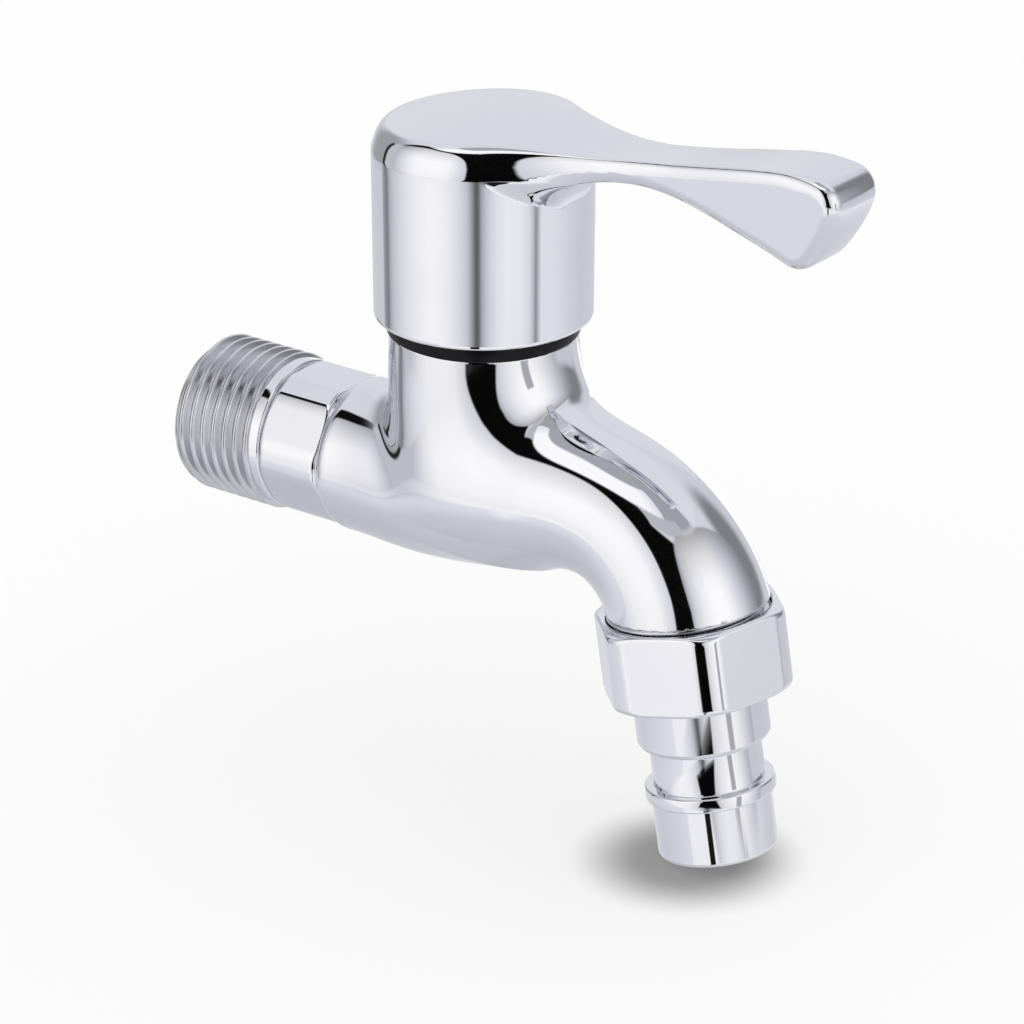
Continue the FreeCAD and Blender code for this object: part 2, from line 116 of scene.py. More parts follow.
def joinAll(name, pieces):
    clearSelection()
    for piece in pieces:
        piece.select_set(True)
    bpy.context.view_layer.objects.active = pieces[0]
    bpy.ops.object.join()
    obj = newest(name)
    bpy.ops.object.transform_apply(location=True, rotation=True, scale=True)
    return obj


# turned pieces are made upright and then laid along the inlet, the outlet or the plug's axis
inletTurn = Matrix.Rotation(math.radians(90), 4, "Y")
outletPlace = (Matrix.Translation(Vector((outlet["x"], 0, outlet["z"])) * mm)
               @ Matrix.Rotation(math.radians(-outlet["tilt"]), 4, "Y"))


def placeMesh(obj, matrix):
    obj.data.transform(matrix)
    obj.data.update()


def addCylinder(radius, low, high, matrix=None, x=0.0, vertices=96):
    # upright between two heights, then turned into place
    bpy.ops.mesh.primitive_cylinder_add(vertices=vertices, radius=radius * mm, depth=(high - low) * mm,
                                        location=(x * mm, 0, (low + high) / 2 * mm))
    obj = bpy.context.object
    bpy.ops.object.transform_apply(location=True, rotation=True, scale=True)
    if matrix is not None:
        placeMesh(obj, matrix)
    return obj


def remesh(obj, size):
    take(obj)
    change = obj.modifiers.new("voxels", "REMESH")
    change.mode = "VOXEL"
    change.voxel_size = size * mm
    change.adaptivity = 0.0
    bpy.ops.object.modifier_apply(modifier="voxels")
    return obj


# A mirror finish shows every facet, so the cast and forged pieces are settled onto a
# smooth formula: negative inside, zero on the skin, about one per millimetre outwards.

def smoothJoin(a, b, reach):
    share = np.clip(1 - np.abs(a - b) / reach, 0, 1)
    return np.minimum(a, b) - share ** 3 * reach / 6


def roundEdge(a, b, radius):
    corner = np.hypot(np.maximum(a + radius, 0), np.maximum(b + radius, 0))
    return np.minimum(np.maximum(a, b), -radius) + corner


def softStep(low, high, value):
    share = np.clip((value - low) / (high - low), 0, 1)
    return share * share * (3 - 2 * share)


def splineThrough(knots, values):
    # natural cubic spline, as a function of the knots' parameter
    knots = np.asarray(knots, float)
    values = np.asarray(values, float)
    gap = np.diff(knots)
    count = len(knots)
    system = np.eye(count)
    right = np.zeros(count)
    for k in range(1, count - 1):
        system[k, k - 1:k + 2] = gap[k - 1], 2 * (gap[k - 1] + gap[k]), gap[k]
        right[k] = 6 * ((values[k + 1] - values[k]) / gap[k] - (values[k] - values[k - 1]) / gap[k - 1])
    bend = np.linalg.solve(system, right)

    def at(where):
        where = np.clip(where, knots[0], knots[-1])
        k = np.clip(np.searchsorted(knots, where) - 1, 0, count - 2)
        left, right = where - knots[k], knots[k + 1] - where
        h = gap[k]
        return (bend[k] * right ** 3 + bend[k + 1] * left ** 3) / (6 * h) \
            + (values[k] / h - bend[k] * h / 6) * right + (values[k + 1] / h - bend[k + 1] * h / 6) * left

    return at


def slopeOf(shape, points, step=0.02):
    slope = np.zeros_like(points)
    for axis in range(3):
        move = np.zeros(3)
        move[axis] = step
        slope[:, axis] = (shape(points + move) - shape(points - move)) / (2 * step)
    return slope


def pointsOf(obj):
    points = np.zeros(len(obj.data.vertices) * 3)
    obj.data.vertices.foreach_get("co", points)
    return points.reshape(-1, 3) / mm


def setPoints(obj, points):
    obj.data.vertices.foreach_set("co", (points * mm).ravel())
    obj.data.update()


leastSteepness, longestStride = 0.05, 0.8


def settle(obj, shape, rounds=4):
    # moves every vertex onto the formula's skin and gives it the skin's normal
    points = pointsOf(obj)
    for k in range(rounds):
        slope = slopeOf(shape, points)
        steepness = np.maximum((slope ** 2).sum(1), leastSteepness)
        stride = np.clip(shape(points) / steepness, -longestStride, longestStride)
        points -= slope * stride[:, None]
    gap = round(float(np.abs(shape(points)).max()), 4)
    print("  ", obj.name, len(points), "vertices, furthest from its skin", gap, "mm")
    normals = slopeOf(shape, points, 0.01)
    normals /= np.maximum(np.linalg.norm(normals, axis=1), 1e-9)[:, None]
    obj.data.polygons.foreach_set("use_smooth", [True] * len(obj.data.polygons))
    setPoints(obj, points)
    obj.data.normals_split_custom_set_from_vertices([Vector(n) for n in normals])


casting = {
    # along the waterway: x, z, half width, half height, lean of the section from the plumb line
    "stations": [
        (10.4, 0.0, 8.9, 8.9, 90.0), (11.3, 0.0, 9.9, 9.9, 90.0), (13.2, 0.0, 10.4, 10.4, 90.0),
        (19.0, 0.1, 10.8, 10.65, 90.0), (26.0, 0.3, 11.6, 10.7, 88.0), (32.0, 0.9, 12.0, 10.7, 86.0),
        (38.0, 1.9, 11.8, 10.6, 84.0), (44.0, 2.9, 11.2, 10.3, 83.0), (49.0, 3.1, 10.6, 10.0, 77.0),
        (54.6, 1.7, 10.1, 9.8, 64.0), (59.8, -2.2, 10.1, 10.0, 43.0), (62.6, -6.3, 10.4, 10.3, 20.0),
    ],
    "spoutEndW": 23.35, "spoutEndRadius": 10.55,
    "columnRadius": 12.4, "columnTop": 22.0,
    # share of the radius and height, down the column
    "columnReach": [(0.972, 22.0), (0.993, 15.0), (1.008, 10.0), (0.99, 5.0), (0.87, 1.0), (0.65, -2.0)],
    "shoulderRear": 2.5, "shoulderFront": 8.0,
    # width of the smooth join that looks like a fillet of radius one
    "joinPerRadius": 1.76,
    "topRound": 0.25, "spoutRound": 0.35,
    "passage": 5.0, "rows": 30, "roughVoxel": 0.8, "voxel": 0.32,
}
# search for the section plane of a point: coarse tries, then Newton steps
search = {"tries": 90, "rounds": 6, "step": 0.01, "leastRate": 0.15, "longest": 2}


def outletPoint(w):
    lean = math.radians(outlet["tilt"])
    return outlet["x"] - w * math.sin(lean), outlet["z"] + w * math.cos(lean)


def aboveBead(points):
    # height along the outlet's axis
    lean = math.radians(outlet["tilt"])
    return (points[:, 2] - outlet["z"]) * math.cos(lean) - (points[:, 0] - outlet["x"]) * math.sin(lean)


def waterwaySpline():
    rows = list(casting["stations"])
    # the last section lies past the end, so that the spout leaves it straight
    for beyond in (0, 6):
        x, z = outletPoint(casting["spoutEndW"] - beyond)
        rows.append((x, z, casting["spoutEndRadius"], casting["spoutEndRadius"], outlet["tilt"]))
    rows = np.array(rows)
    knots = np.concatenate([[0], np.cumsum(np.hypot(np.diff(rows[:, 0]), np.diff(rows[:, 1])))])
    return knots, [splineThrough(knots, rows[:, k]) for k in range(5)]


castingKnots, castingLines = waterwaySpline()


def waterwayPlace(points):
    # the section plane that holds each point, and the point's height in that section
    lineX, lineZ, lean = castingLines[0], castingLines[1], castingLines[4]
    tries = np.linspace(0, castingKnots[-1], search["tries"])
    gap = (points[:, 0:1] - lineX(tries)[None]) ** 2 + (points[:, 2:3] - lineZ(tries)[None]) ** 2
    t = tries[np.argmin(gap, axis=1)]

    def offPlane(t):
        angle = np.radians(lean(t))
        return (points[:, 0] - lineX(t)) * np.sin(angle) - (points[:, 2] - lineZ(t)) * np.cos(angle)

    for k in range(search["rounds"]):
        here = offPlane(t)
        rate = np.minimum((offPlane(t + search["step"]) - here) / search["step"], -search["leastRate"])
        stride = np.clip(here / rate, -search["longest"], search["longest"])
        t = np.clip(t - stride, 0, castingKnots[-1])
    angle = np.radians(lean(t))
    up = (points[:, 0] - lineX(t)) * np.cos(angle) + (points[:, 2] - lineZ(t)) * np.sin(angle)
    return t, up


def waterwayShape(points):
    t, up = waterwayPlace(points)
    wide, high = castingLines[2](t), castingLines[3](t)
    return (np.sqrt((points[:, 1] / wide) ** 2 + (up / high) ** 2) - 1) * np.sqrt(wide * high)


def columnWall():
    # wall radius of the column by height, a Bezier curve that draws in at the foot
    reach = np.array(casting["columnReach"])
    share = np.linspace(0, 1, 400)
    degree = len(reach) - 1
    weights = [math.comb(degree, k) * share ** k * (1 - share) ** (degree - k) for k in range(degree + 1)]
    radius = sum(weight * row[0] for weight, row in zip(weights, reach)) * casting["columnRadius"]
    height = sum(weight * row[1] for weight, row in zip(weights, reach))
    return height[::-1], radius[::-1]


wallHeights, wallRadii = columnWall()


def columnShape(points):
    reach = np.hypot(points[:, 0] - columnX, points[:, 1])
    wall = np.interp(points[:, 2], wallHeights, wallRadii)
    return np.maximum(reach - wall, wallHeights[0] - points[:, 2])


def castingShape(points):
    front = softStep(columnX - casting["columnRadius"], columnX + casting["columnRadius"], points[:, 0])
    radius = casting["shoulderRear"] + front * (casting["shoulderFront"] - casting["shoulderRear"])
    skin = smoothJoin(waterwayShape(points), columnShape(points), casting["joinPerRadius"] * radius)
    skin = roundEdge(skin, points[:, 2] - casting["columnTop"], casting["topRound"])
    skin = roundEdge(skin, casting["spoutEndW"] - aboveBead(points), casting["spoutRound"])
    skin = np.maximum(skin, casting["stations"][0][0] - points[:, 0])
    beyond = np.maximum(points[:, 0] - columnX, 0)
    passage = np.sqrt(beyond ** 2 + points[:, 1] ** 2 + points[:, 2] ** 2) - casting["passage"]
    return np.maximum(skin, -passage)


def buildCasting():
    pieces = []
    lineX, lineZ, halfWidth, halfHeight, lean = castingLines
    for t in np.linspace(castingKnots[0], castingKnots[-1], casting["rows"]):
        radius = float(min(halfWidth(t), halfHeight(t)))
        bpy.ops.mesh.primitive_uv_sphere_add(segments=48, ring_count=24, radius=radius * mm,
                                             location=(float(lineX(t)) * mm, 0, float(lineZ(t)) * mm))
        pieces.append(bpy.context.object)
    pieces.append(addCylinder(casting["columnRadius"] - 0.1, 0, casting["columnTop"], x=columnX))
    rough = joinAll("tapCasting", pieces)
    remesh(rough, casting["roughVoxel"])
    endX, endZ = outletPoint(casting["spoutEndW"])
    lean = math.radians(outlet["tilt"])
    cuts = [((casting["stations"][0][0], 0, 0), (-1, 0, 0)),
            ((endX, 0, endZ), (math.sin(lean), 0, -math.cos(lean)))]
    for place, outward in cuts:
        bpy.ops.object.mode_set(mode="EDIT")
        bpy.ops.mesh.select_all(action="SELECT")
        bpy.ops.mesh.bisect(plane_co=Vector(place) * mm, plane_no=outward, use_fill=True, clear_outer=True)
        bpy.ops.object.mode_set(mode="OBJECT")
    combine(rough, addCylinder(casting["passage"], -5, columnX + 3, matrix=inletTurn), "DIFFERENCE")
    remesh(rough, casting["voxel"])
    settle(rough, castingShape)
    return rough


clearSelection()
tapCasting = buildCasting()
print("casting done")


lever = {
    "drumLow": 24.18, "drumRadius": 14.14, "drumBore": 12.2, "boreTop": 43.0,
    "bossRadius": 8.2, "bossLow": 35.9,
    "flankLow": 24.0, "flankHigh": 55.0, "flankLowZ": 41.6, "flankHighZ": 46.8, "flare": 1.8, "half": 4.5,
    # the walls lean a little, as on a casting: millimetres of width for each one of height
    "draft": 0.0065, "drumDraftTop": 45.0, "drumDraftRun": 22, "leverDraft": 0.09, "draftTop": 51.0,
    "draftFrom": 44, "draftTo": 58,
    # past here the flanks keep one angle at all heights
    "twistFrom": 56, "twistTo": 64,
    # the end face bows out along x
    "sweep": 0.012, "sweepFrom": 76, "sweepTo": 84,
    "side": [
        (14.0, 49.3), (18.0, 49.6), (22.5, 50.0), (28.0, 50.5), (34.0, 50.85),
        (40.0, 50.85), (46.0, 50.6), (52.0, 50.6), (58.0, 51.15), (65.0, 52.2), (73.0, 53.6),
        (79.0, 54.4), (83.0, 54.45), (85.6, 53.8), (86.9, 52.0), (86.75, 49.6), (85.6, 46.9),
        (83.9, 44.2), (82.4, 42.6), (80.6, 42.0), (78.5, 42.6), (73.0, 44.45), (67.0, 46.35),
        (61.5, 47.5), (57.0, 47.8), (52.5, 47.4), (49.2, 46.5), (46.8, 45.0), (45.0, 42.9),
        (43.4, 40.8), (41.5, 39.3), (38.0, 38.6),
    ],
    # the rim's rounding, wide and tall, which shrinks from the drum to the lever and grows at the tip
    "rimRear": 2.4, "rimLever": 0.9, "rimTip": 0.9, "rimFrom": 34.0, "rimTo": 52.0, "tipFrom": 78, "tipTo": 85,
    "rimDrumTall": 4.3, "rimTall": 1.7, "tallFrom": 40, "tallTo": 62, "tallLowZ": 44.2, "tallHighZ": 47.2,
    # the top falls away to both sides
    "crown": 0.3, "crownLowZ": 44, "crownHighZ": 48, "crownHalf": 12, "crownLimit": 1.6,
    "capJoin": 1.2, "wallTop": 45, "wallTopRound": 0.5, "lowRound": 0.35, "pocketRound": 0.15,
    "plugZ": 40.0, "plugRadius": 3.0, "pocketFloor": 12.24,
    "sideInset": 0.01, "joinFrom": 0.2, "joinTo": 2.5,
    "gridX": (10, 92), "gridZ": (34, 58), "gridStep": 0.1,
    # rough blank that the formula is settled from
    "blankX": (36, 90), "blankZ": (38.0, 56.0), "blankHalf": 20, "capLow": 40, "wallBlankTop": 44.5,
    "voxel": 0.32,
}


def sideCurve(count):
    points = np.array(lever["side"])
    knots = np.concatenate([[0], np.cumsum(np.hypot(*np.diff(points, axis=0).T))])
    t = np.linspace(0, knots[-1], count)
    return np.stack([splineThrough(knots, points[:, axis])(t) for axis in (0, 1)], 1)


def sideGrid():
    # signed distance to the side outline on a fine grid over (x, z), closed down to below the drum
    outline = sideCurve(1400)
    first, last = outline[0], outline[-1]
    low = lever["drumLow"] - 6
    tail = [np.linspace(last, (last[0], low), 60)[1:], np.linspace((last[0], low), (first[0], low), 60)[1:],
            np.linspace((first[0], low), first, 80)[1:]]
    outline = np.concatenate([outline] + tail)
    ends = np.roll(outline, -1, axis=0)
    step = lever["gridStep"]
    gridX = np.arange(*lever["gridX"], step)
    gridZ = np.arange(*lever["gridZ"], step)
    table = np.zeros((len(gridX), len(gridZ)))
    along = ends - outline
    size = np.maximum((along ** 2).sum(1), 1e-12)
    for k, x in enumerate(gridX):
        off = np.stack([np.full(len(gridZ), x), gridZ], 1)[:, None] - outline[None]
        share = np.clip((off * along[None]).sum(2) / size[None], 0, 1)
        gap = off - share[:, :, None] * along[None]
        far = np.sqrt((gap ** 2).sum(2).min(1))
        crosses = (outline[None, :, 1] > gridZ[:, None]) != (ends[None, :, 1] > gridZ[:, None])
        rise = np.where(np.abs(along[:, 1]) > 1e-12, along[:, 1], 1.0)
        hit = outline[None, :, 0] + (gridZ[:, None] - outline[None, :, 1]) / rise[None] * along[None, :, 0]
        inside = ((crosses & (x < hit)).sum(1) % 2) == 1
        table[k] = np.where(inside, -far, far)
    return gridX[0], gridZ[0], step, table


leverGrid = sideGrid()


def sideDistance(x, z):
    startX, startZ, step, table = leverGrid
    u = np.clip((x - startX) / step, 1.001, table.shape[0] - 2.001)
    v = np.clip((z - startZ) / step, 1.001, table.shape[1] - 2.001)
    column, row = u.astype(int), v.astype(int)
    fu, fv = u - column, v - row

    def weights(f):
        return [((2 - f) * f - 1) * f / 2, ((3 * f - 5) * f * f + 2) / 2, ((4 - 3 * f) * f + 1) * f / 2,
                (f - 1) * f * f / 2]

    across, up = weights(fu), weights(fv)
    total = 0.0
    for k in range(4):
        for n in range(4):
            total = total + across[k] * up[n] * table[column + k - 1, row + n - 1]
    return total


def planDistance(x, y, z):
    # outline at one height: the drum's circle, the hollow flanks and the lever's straight sides
    turn = np.maximum(softStep(lever["flankLowZ"], lever["flankHighZ"], z),
                      softStep(lever["twistFrom"], lever["twistTo"], x))
    angle = np.radians(lever["flankLow"] + turn * (lever["flankHigh"] - lever["flankLow"]))
    radius = lever["drumRadius"]
    startX, startY = columnX + radius * np.cos(angle), radius * np.sin(angle)
    bend = math.pi / 2 - angle
    flare = math.radians(lever["flare"])
    hollow = (startY - lever["half"]) / (1 - np.cos(bend))
    centreX, centreY = startX + hollow * np.sin(bend), lever["half"] + hollow
    y = np.abs(y)
    lean = lever["leverDraft"] * softStep(lever["draftFrom"], lever["draftTo"], x) * (lever["draftTop"] - z)
    drum = np.hypot(x - columnX, y) - radius
    drum += lever["draft"] * np.clip(lever["drumDraftTop"] - z, 0, lever["drumDraftRun"])
    flank = hollow - np.hypot(x - centreX, y - centreY) + lean
    endX, endY = centreX + hollow * math.sin(flare), centreY - hollow * math.cos(flare)
    straight = (y - endY) * math.cos(flare) - (x - endX) * math.sin(flare) + lean
    onDrum = (x - columnX) * np.sin(angle) - y * np.cos(angle) < 0
    onStraight = (x - endX) * math.cos(flare) + (y - endY) * math.sin(flare) > 0
    return np.where(onDrum, drum, np.where(onStraight, straight, flank)), drum


def ovalEdge(across, up, wide, high):
    # joins a wall and a top with a rounding that is wider than high, or the other way round
    a, b = across / wide, up / high
    over, above = np.maximum(a + 1, 0), np.maximum(b + 1, 0)
    share = (over ** 2 + 1e-6) / (over ** 2 + above ** 2 + 2e-6)
    return (np.minimum(np.maximum(a, b), -1) + np.hypot(over, above)) * (wide * share + high * (1 - share))


def handleShape(points):
    x, y, z = points.T
    plan, drum = planDistance(x, y, z)
    drop = (lever["crown"] * softStep(lever["crownLowZ"], lever["crownHighZ"], z)
            * np.minimum((y / lever["crownHalf"]) ** 2, lever["crownLimit"]))
    bow = lever["sweep"] * softStep(lever["sweepFrom"], lever["sweepTo"], x) * y * y
    side = sideDistance(x + bow, z + drop) + lever["sideInset"]
    onDrum = 1 - softStep(lever["rimFrom"], lever["rimTo"], x)
    onTip = softStep(lever["tipFrom"], lever["tipTo"], x)
    wide = lever["rimLever"] + (lever["rimRear"] - lever["rimLever"]) * onDrum + lever["rimTip"] * onTip
    nearDrum = 1 - softStep(lever["tallFrom"], lever["tallTo"], x)
    fade = nearDrum * softStep(lever["tallLowZ"], lever["tallHighZ"], z)
    tall = lever["rimTall"] + (lever["rimDrumTall"] - lever["rimTall"]) * fade
    cap = ovalEdge(plan, side, wide, tall)
    wall = roundEdge(drum, z - lever["wallTop"], lever["wallTopRound"])
    meet = lever["capJoin"] * softStep(lever["joinFrom"], lever["joinTo"], drum - plan) + 1e-4
    skin = smoothJoin(cap, wall, meet)
    skin = roundEdge(skin, lever["drumLow"] - z, lever["lowRound"])
    reach = np.hypot(x - columnX, y)
    boss = np.maximum(reach - lever["bossRadius"], lever["bossLow"] - z)
    hollow = np.maximum(np.maximum(reach - lever["drumBore"], z - lever["boreTop"]), -boss)
    pocket = np.maximum(np.hypot(y, z - lever["plugZ"]) - lever["plugRadius"],
                        x - (columnX - lever["pocketFloor"]))
    return roundEdge(np.maximum(skin, -hollow), -pocket, lever["pocketRound"])


def prismBetween(name, outline, axis, low, high):
    # closed outline of two coordinates drawn out along the third axis
    count = len(outline)
    points = []
    for level in (low, high):
        for pair in outline:
            points.append([*pair[:axis], level, *pair[axis:]])
    faces = [tuple(range(count)), tuple(range(count, 2 * count))]
    faces += [(k, (k + 1) % count, (k + 1) % count + count, k + count) for k in range(count)]
    obj = meshFrom(name, points, [], faces)
    faceOutwards()
    return obj


def leverOutline():
    # half plan of the lever at cap height, mirrored into a closed outline
    along = np.linspace(*lever["blankX"], 41)
    reach = np.linspace(0, lever["blankHalf"], 401)
    level = np.full(len(reach), lever["flankHighZ"])
    side = []
    for x in along:
        plan = planDistance(np.full(len(reach), x), reach, level)[0]
        side.append(float(reach[np.searchsorted(plan, 0)]))
    return [(x, -y) for x, y in zip(along, side)] + [(x, y) for x, y in zip(along[::-1], side[::-1])]


def sideOutline():
    low = lever["drumLow"] - 2
    outline = [(float(x), float(z)) for x, z in sideCurve(120)]
    return outline + [(lever["side"][-1][0], low), (lever["side"][0][0], low)]


plugPlace = (Matrix.Translation(Vector((columnX, 0, lever["plugZ"])) * mm)
             @ Matrix.Rotation(math.radians(-90), 4, "Y"))


def buildHandle():
    radius, half, low = lever["drumRadius"], lever["blankHalf"], lever["drumLow"]
    blank = prismBetween("leverHandle", leverOutline(), 2, *lever["blankZ"])
    combine(blank, addCylinder(radius, lever["capLow"], lever["blankZ"][1], x=columnX, vertices=128), "UNION")
    combine(blank, prismBetween("sideBlank", sideOutline(), 1, -half, half), "INTERSECT")
    combine(blank, addCylinder(radius, low, lever["wallBlankTop"], x=columnX, vertices=128), "UNION")
    cavity = addCylinder(lever["drumBore"], low - 5, lever["boreTop"], x=columnX, vertices=128)
    boss = addCylinder(lever["bossRadius"], lever["bossLow"], lever["boreTop"] + 1, x=columnX)
    combine(blank, combine(cavity, boss, "DIFFERENCE"), "DIFFERENCE")
    pocket = addCylinder(lever["plugRadius"], lever["pocketFloor"], radius + 3, matrix=plugPlace, vertices=64)
    combine(blank, pocket, "DIFFERENCE")
    remesh(blank, lever["voxel"])
    settle(blank, handleShape)
    return blank


leverHandle = buildHandle()
print("handle done")


hexWall = {"across": 19.05, "low": 1.4, "high": 11.0, "corner": 0.35, "limit": 9.95, "round": 0.9, "turn": 30.0,
           "bore": 6.5, "boreEnd": 9.0, "passage": 5.0, "voxel": 0.28}
nut = {"across": 23.0, "low": 12.3, "high": 23.0, "corner": 1.9, "limit": 12.95, "round": 1.7, "turn": 14.7,
       "bore": 10.53, "lip": 8.95, "lipTop": 13.9, "boreRound": 0.45, "voxel": 0.28}
hexSlack, hexSoft = 0.12, 0.3


def hexShape(points, sizes):
    x, y, z = points.T
    total = None
    for k in range(3):
        angle = math.radians(sizes["turn"] + 30 + 60 * k)
        flat = np.abs(x * math.cos(angle) + y * math.sin(angle)) - sizes["across"] / 2
        total = flat if total is None else roundEdge(total, flat, sizes["corner"])
    middle, half = (sizes["low"] + sizes["high"]) / 2, (sizes["high"] - sizes["low"]) / 2
    ends = np.abs(z - middle) - half
    turnedLimit = roundEdge(np.hypot(x, y) - sizes["limit"] - hexSlack, ends, sizes["round"])
    return roundEdge(total, turnedLimit, hexSoft)


def wallShape(points):
    reach = np.hypot(points[:, 0], points[:, 1])
    bore = np.minimum(np.maximum(reach - hexWall["bore"], points[:, 2] - hexWall["boreEnd"]),
                      reach - hexWall["passage"])
    return np.maximum(hexShape(points, hexWall), -bore)


def nutShape(points):
    reach = np.hypot(points[:, 0], points[:, 1])
    z = points[:, 2]
    bore = np.minimum(np.maximum(reach - nut["bore"], nut["lipTop"] - z), reach - nut["lip"])
    return roundEdge(hexShape(points, nut), -bore, nut["boreRound"])


def buildHexagon(name, sizes, shape, cutters):
    bpy.ops.mesh.primitive_cylinder_add(vertices=6, radius=sizes["across"] / math.sqrt(3) * mm,
                                        depth=(sizes["high"] - sizes["low"]) * mm,
                                        location=(0, 0, (sizes["low"] + sizes["high"]) / 2 * mm))
    obj = newest(name)
    bpy.ops.object.transform_apply(location=True, rotation=True, scale=True)
    # the primitive's first corner lies on +Y
    placeMesh(obj, Matrix.Rotation(math.radians(sizes["turn"] - 90), 4, "Z"))
    limit = addCylinder(sizes["limit"], sizes["low"], sizes["high"])
    combine(obj, limit, "INTERSECT")
    for cutter in cutters:
        combine(obj, cutter, "DIFFERENCE")
    remesh(obj, sizes["voxel"])
    settle(obj, shape)
    return obj


wallHexagon = buildHexagon("wallHexagon", hexWall, wallShape, [
    addCylinder(hexWall["bore"], -5, hexWall["boreEnd"]), addCylinder(hexWall["passage"], 5, 20)])
placeMesh(wallHexagon, inletTurn)
unionNut = buildHexagon("unionNut", nut, nutShape, [
    addCylinder(nut["bore"], nut["lipTop"], 30), addCylinder(nut["lip"], 5, 20)])
placeMesh(unionNut, outletPlace)
print("hexagons done")


def roundedProfile(corners, steps=6):
    # outline of (radius, height, rounding) corners with each rounding drawn as an arc
    line = []
    for k, (r, z, soft) in enumerate(corners):
        if soft <= 0 or k in (0, len(corners) - 1):
            line.append((r, z))
            continue
        here = Vector((r, z))
        back = (Vector(corners[k - 1][:2]) - here).normalized()
        ahead = (Vector(corners[k + 1][:2]) - here).normalized()
        half = back.angle(ahead) / 2
        if half > math.radians(88):
            line.append((r, z))
            continue
        reach = soft / math.tan(half)
        middle = here + (back + ahead).normalized() * (soft / math.sin(half))
        start, end = here + back * reach - middle, here + ahead * reach - middle
        turn = math.atan2(start.x * end.y - start.y * end.x, start.dot(end))
        for n in range(steps + 1):
            angle = turn * n / steps
            spun = Vector((start.x * math.cos(angle) - start.y * math.sin(angle),
                           start.x * math.sin(angle) + start.y * math.cos(angle)))
            line.append(tuple(middle + spun))
    return line


weldGap = 0.000004


def turnedPiece(name, corners, matrix=None, x=0.0, steps=144, closed=True, smooth=35):
    line = roundedProfile(corners)
    count = len(line)
    edges = [(k, k + 1) for k in range(count - 1)] + ([(count - 1, 0)] if closed else [])
    obj = meshFrom(name, [(r, 0, z) for r, z in line], edges, [])
    bpy.ops.mesh.spin(steps=steps, angle=2 * math.pi, center=(0, 0, 0), axis=(0, 0, 1))
    bpy.ops.mesh.select_all(action="SELECT")
    bpy.ops.mesh.remove_doubles(threshold=weldGap)
    faceOutwards()
    bpy.ops.object.shade_smooth_by_angle(angle=math.radians(smooth))
    if x:
        placeMesh(obj, Matrix.Translation((x * mm, 0, 0)))
    if matrix is not None:
        placeMesh(obj, matrix)
    return obj


ring = {"outer": 12.4, "inner": 11.4, "low": 22.0, "high": 23.88}
handleRing = turnedPiece("handleRing", [
    (ring["inner"], ring["low"], 0.1), (ring["outer"], ring["low"], 0.15), (ring["outer"], ring["high"], 0.3),
    (ring["inner"], ring["high"], 0.1), (ring["inner"], ring["low"] + 0.5, 0.0)], x=columnX)

stem = {"flange": 9.9, "flangeLow": 13.95, "flangeTop": 15.2, "step": 8.6, "stepLow": 6.1, "narrow": 7.2,
        "narrowTop": 5.2, "bead": 8.4, "beadHigh": 1.88, "spigot": 7.7, "spigotLow": 9.6, "bore": 5.6,
        "seat": 7.05, "seatLow": 14.2}
hoseNozzle = turnedPiece("hoseNozzle", [
    (stem["bore"], 0, 0), (stem["bore"], -stem["spigotLow"], 0.3), (stem["spigot"], -stem["spigotLow"], 0.6),
    (stem["spigot"], -stem["beadHigh"], 0.12), (stem["bead"], -stem["beadHigh"], 0.3), (stem["bead"], 0, 0.3),
    (stem["narrow"], 0, 0.12), (stem["narrow"], stem["narrowTop"], 0.25),
    (stem["step"] - 0.3, stem["stepLow"] - 0.5, 0.2), (stem["step"], stem["stepLow"], 0.2),
    (stem["step"], stem["flangeLow"], 0.1), (stem["flange"], stem["flangeLow"], 0.1),
    (stem["flange"], stem["flangeTop"], 0.1), (stem["seat"], stem["flangeTop"], 0.1),
    (stem["seat"], stem["seatLow"], 0.05), (stem["bore"], stem["seatLow"], 0.1)],
    matrix=outletPlace)

collar = {"inner": 6.5, "outer": 10.0, "low": -0.3, "high": 1.4}
collarRing = turnedPiece("collarRing", [
    (collar["inner"], collar["low"], 0), (collar["outer"], collar["low"], 0),
    (collar["outer"], collar["high"], 0.3), (collar["inner"], collar["high"], 0)], matrix=inletTurn)


thread = {"flat": 0.17, "soft": 0.35, "rowGap": 0.12, "steps": 160, "mouth": 0.6}
inletScrew = {"low": -12.9, "high": 0.0, "bore": 6.5, "chamfer": 0.8}
spoutScrew = {"low": 16.25, "high": 23.6, "bore": 7.3, "chamfer": 0.5}


def threadRadius(turnShare, chamferLimit):
    # rounded 55 degree form: crest at share 0, root at one half, with straight flanks between
    away = np.abs(turnShare - np.round(turnShare)) * 2
    flank = np.clip((away - thread["flat"]) / (1 - 2 * thread["flat"]), 0, 1)
    wave = softStep(0, 1, flank) * thread["soft"] + flank * (1 - thread["soft"])
    return np.minimum(threadCrest - wave * (threadCrest - threadRoot), chamferLimit)


